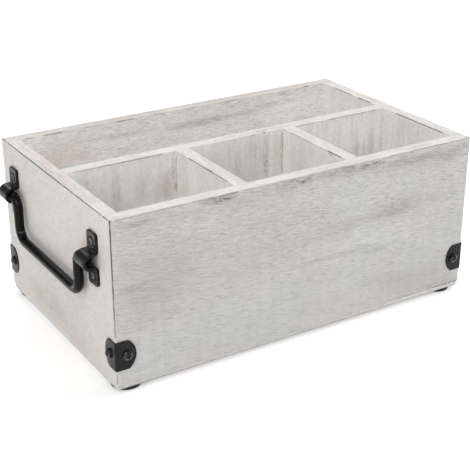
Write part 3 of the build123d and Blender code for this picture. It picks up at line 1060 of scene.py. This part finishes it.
def board_grains():
    """Each board's axes and grain. Faces nearer to the middle than "outdoors" are inside the box."""
    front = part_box("front_panel")
    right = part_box("right_end_panel")
    long_panel = {
        "grain": "x", "turn": (0, LONG_TURN, 0), "contrast": LONG_CONTRAST,
        "stroke": LONG_STROKE, "band": LONG_BAND,
        "length": "x", "thickness": "y", "outdoors": (front[0].y + front[1].y) / -2,
    }
    rear_panel = dict(long_panel, stroke=REAR_STROKE, turn=(0, REAR_TURN, 0), contrast=REAR_CONTRAST)
    end_panel = {
        "grain": "z", "turn": (0, 0, 0), "contrast": UPRIGHT_CONTRAST,
        "stroke": UPRIGHT_STROKE, "band": UPRIGHT_BAND,
        "length": "y", "thickness": "x", "outdoors": (right[0].x + right[1].x) / 2,
    }
    cross_divider = dict(end_panel, outdoors=ALL_INDOORS)
    return {
        "front_panel": long_panel,
        "rear_panel": rear_panel,
        "left_end_panel": end_panel,
        "right_end_panel": end_panel,
        "long_divider": dict(cross_divider, length="x", thickness="y"),
        "left_cross_divider": cross_divider,
        "right_cross_divider": cross_divider,
    }


def tinted_faces():
    """Each tinted face: its board, its stains, painted shade and painted light, and where its left end and
    its plane are.
    """
    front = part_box("front_panel")
    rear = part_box("rear_panel")
    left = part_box("left_end_panel")
    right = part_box("right_end_panel")
    divider_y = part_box("long_divider")[0].y
    left_cross_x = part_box("left_cross_divider")[0].x
    right_cross_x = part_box("right_cross_divider")[0].x
    inside_x = left[1].x
    inside_y = rear[0].y
    return (
        ("front_panel", FRONT_STAINS_LIGHT_AND_SHADE, facing_front(front[0].x, front[0].y)),
        ("rear_panel", REAR_INSIDE_STAINS_LIGHT_AND_SHADE, facing_front(inside_x, inside_y)),
        ("rear_panel", BACK_STAINS, facing_front(rear[0].x, rear[1].y)),
        ("long_divider", DIVIDER_FRONT_STAINS_LIGHT_AND_SHADE, facing_front(inside_x, divider_y)),
        ("left_cross_divider", LEFT_CROSS_STAINS_AND_LIGHT, facing_side(left_cross_x, divider_y)),
        ("right_cross_divider", RIGHT_CROSS_STAINS_AND_SHADE, facing_side(right_cross_x, divider_y)),
        ("right_end_panel", RIGHT_INSIDE_STAINS_LIGHT_AND_SHADE, facing_side(right[0].x, inside_y)),
        ("right_end_panel", RIGHT_OUTSIDE_STAINS, facing_side(right[1].x, rear[1].y)),
        ("left_end_panel", LEFT_OUTSIDE_STAINS_AND_SHADE, facing_side(left[0].x, rear[1].y)),
    )


def make_walls(grains):
    """Panels and dividers."""
    radii = {
        "front_panel": long_panel_radii("-y", "+y"),
        "rear_panel": long_panel_radii("+y", "-y"),
        "left_end_panel": end_panel_radii("-x", "+x"),
        "right_end_panel": end_panel_radii("+x", "-x"),
        "long_divider": divider_radii("y"),
        "left_cross_divider": divider_radii("x"),
        "right_cross_divider": divider_radii("x"),
    }
    marks = {node: [] for node in grains}
    for node, stains_light_and_shade, to_place in tinted_faces():
        marks[node] += face_marks(stains_light_and_shade, to_place)
    for seed, (node, grain) in enumerate(grains.items()):
        stains_light_and_shade = marks[node] + rim_marks(node)
        paint = whitewash(f"{node}_whitewash", *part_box(node), grain, seed, stains_light_and_shade, arris_lines(node))
        chips = [(sides(*pair), *rest) for pair, *rest in CHIPS.get(node, ())]
        worn_board(f"{node}_board", node, paint, radii[node], chips)


def make_base_board(grains):
    """Thin sheet under the walls."""
    low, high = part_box("base_board")
    grain = dict(grains["front_panel"], thickness="z", outdoors=ALL_OUTDOORS)
    stains_light_and_shade = face_marks(BASE_PAINTED_LIGHT, facing_front(low.x, low.y))
    paint = whitewash("base_board_whitewash", low, high, grain, len(grains), stains_light_and_shade, sheet_shade_and_seam_lines())
    worn_board("base_board_sheet", "base_board", paint, sheet_radii())


# Steel fittings


def in_sink(point, low, high):
    """Whether a point of a strap lies on the cone of a screw's sink, or on the sink's eased rim."""
    centre = (low + high) / 2
    for side in (-1, 1):
        reach = hypot(point.y - centre.y, point.z - centre.z - side * STRAP_SCREW_RISE)
        depth = STRAP_FACE - abs(point.x)
        slope = max(SINK_RADIUS - reach, 0.0) / SINK_SLOPE
        if reach < SINK_RADIUS + PLATE_EDGE and abs(depth - slope) < SINK_TOLERANCE:
            return True
    return False


def eased_plate(node):
    """The node's own mesh with its edges eased, and its edges and sinks told apart by material."""
    work = bmesh.new()
    work.from_mesh(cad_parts[node].data)
    bmesh.ops.remove_doubles(work, verts=work.verts, dist=WELD_DISTANCE)
    bmesh.ops.dissolve_limit(work, angle_limit=FLAT_ANGLE, verts=work.verts, edges=work.edges)
    sharp = [edge for edge in work.edges if edge.is_manifold and edge.calc_face_angle(0) > EDGE_ANGLE]
    made = bmesh.ops.bevel(work, geom=sharp, offset=PLATE_EDGE, segments=PLATE_EDGE_STEPS,
                           profile=PLATE_EDGE_PROFILE, affect="EDGES", clamp_overlap=True)
    for face in made["faces"]:
        face.material_index = 1
    low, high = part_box(node)
    for face in work.faces:
        if in_sink(face.calc_center_median(), low, high):
            face.material_index = 2
    mesh = bpy.data.meshes.new(f"{node}_plate")
    work.to_mesh(mesh)
    work.free()
    return mesh


def dressed_plate(node, materials):
    """A bracket or a strap with its paint, painted highlights on its eased edges, and painted shade in its
    sinks.
    """
    mesh = eased_plate(node)
    mesh.shade_smooth()
    mesh.set_sharp_from_angle(angle=CREASE_ANGLE)
    mesh.materials.clear()
    for material in materials:
        mesh.materials.append(material)
    dress_node(f"{node}_plate", mesh, node)


def paint_node(node, material):
    """Give a CAD node its material."""
    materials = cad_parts[node].data.materials
    materials.clear()
    materials.append(material)


def make_fittings():
    """Brackets, straps, bails, screws, feet and brads."""
    plate = black_steel("black_plate", level=0.0060, roughness=0.28, gloss=0.22)
    # Painted highlight on the eased edges: lighter, glossier paint than the flats.
    edge_highlight = black_steel("edge_highlight_paint", level=0.022, roughness=0.28, gloss=0.55)
    # Painted shade in the screw sinks: almost black, dull paint on their cones.
    sink_shade = black_steel("sink_painted_shade", level=0.0008, roughness=0.60, gloss=0.03)
    paints = {
        "handle_bail": black_steel("black_rod", level=0.0006, roughness=0.25, gloss=0.18,
                                   wear_and_highlight=rod_ring, wear_and_highlight_level=0.06),
        "bracket_screws": black_steel("black_screw", level=0.012, roughness=0.20, gloss=0.60),
        # Strap screws: a dark, dull head as painted shade round the rim, with a painted highlight on the
        # crown.
        "strap_screws": black_steel("strap_screw", level=0.0008, roughness=0.30, gloss=0.06,
                                    wear_and_highlight=crown_highlight, wear_and_highlight_level=0.12, wear_and_highlight_gloss=0.50),
        "foot": rubber("foot_rubber"),
    }
    brad = bare_steel("brad_steel")
    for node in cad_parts:
        if node.startswith(("corner_bracket", "handle_strap")):
            dressed_plate(node, (plate, edge_highlight, sink_shade))
        elif node.endswith("brads"):
            paint_node(node, brad)
        for start, paint in paints.items():
            if node.startswith(start):
                paint_node(node, paint)


# Stage


def make_floor():
    """Pale floor. Its glow rises where the lights no longer reach."""
    work = bmesh.new()
    bmesh.ops.create_grid(work, x_segments=1, y_segments=1, size=FLOOR_HALF)
    mesh = bpy.data.meshes.new("floor")
    work.to_mesh(mesh)
    work.free()
    shader = Shader("floor")
    distance = shader.length(shader.place())
    shader.set("Base Color", grey(FLOOR_LEVEL))
    shader.set("Emission Color", grey(1.0))
    shader.set("Emission Strength", shader.ramp(distance, *FAR_FLOOR, FLOOR_GLOW, FAR_FLOOR_GLOW))
    shader.set("Roughness", FLOOR_ROUGHNESS)
    shader.set("Specular IOR Level", FLOOR_GLOSS)
    mesh.materials.append(shader.material)
    add_object("floor", mesh)


def make_lights():
    """Even glow from all round, and square soft lights."""
    world = bpy.data.worlds.new("world")
    world.use_nodes = True
    background = world.node_tree.nodes["Background"].inputs
    background["Color"].default_value = grey(1.0)
    background["Strength"].default_value = WORLD_GLOW
    bpy.context.scene.world = world
    bpy.context.scene.view_settings.view_transform = "Standard"
    for name, (place, power) in LIGHTS.items():
        data = bpy.data.lights.new(name, "AREA")
        data.shape = "SQUARE"
        data.size = SOFTBOX
        data.energy = power
        aim(add_object(name, data), place, LIGHT_TARGET - Vector(place))


make_camera()
board_looks = board_grains()
make_walls(board_looks)
make_base_board(board_looks)
make_fittings()
make_floor()
make_lights()
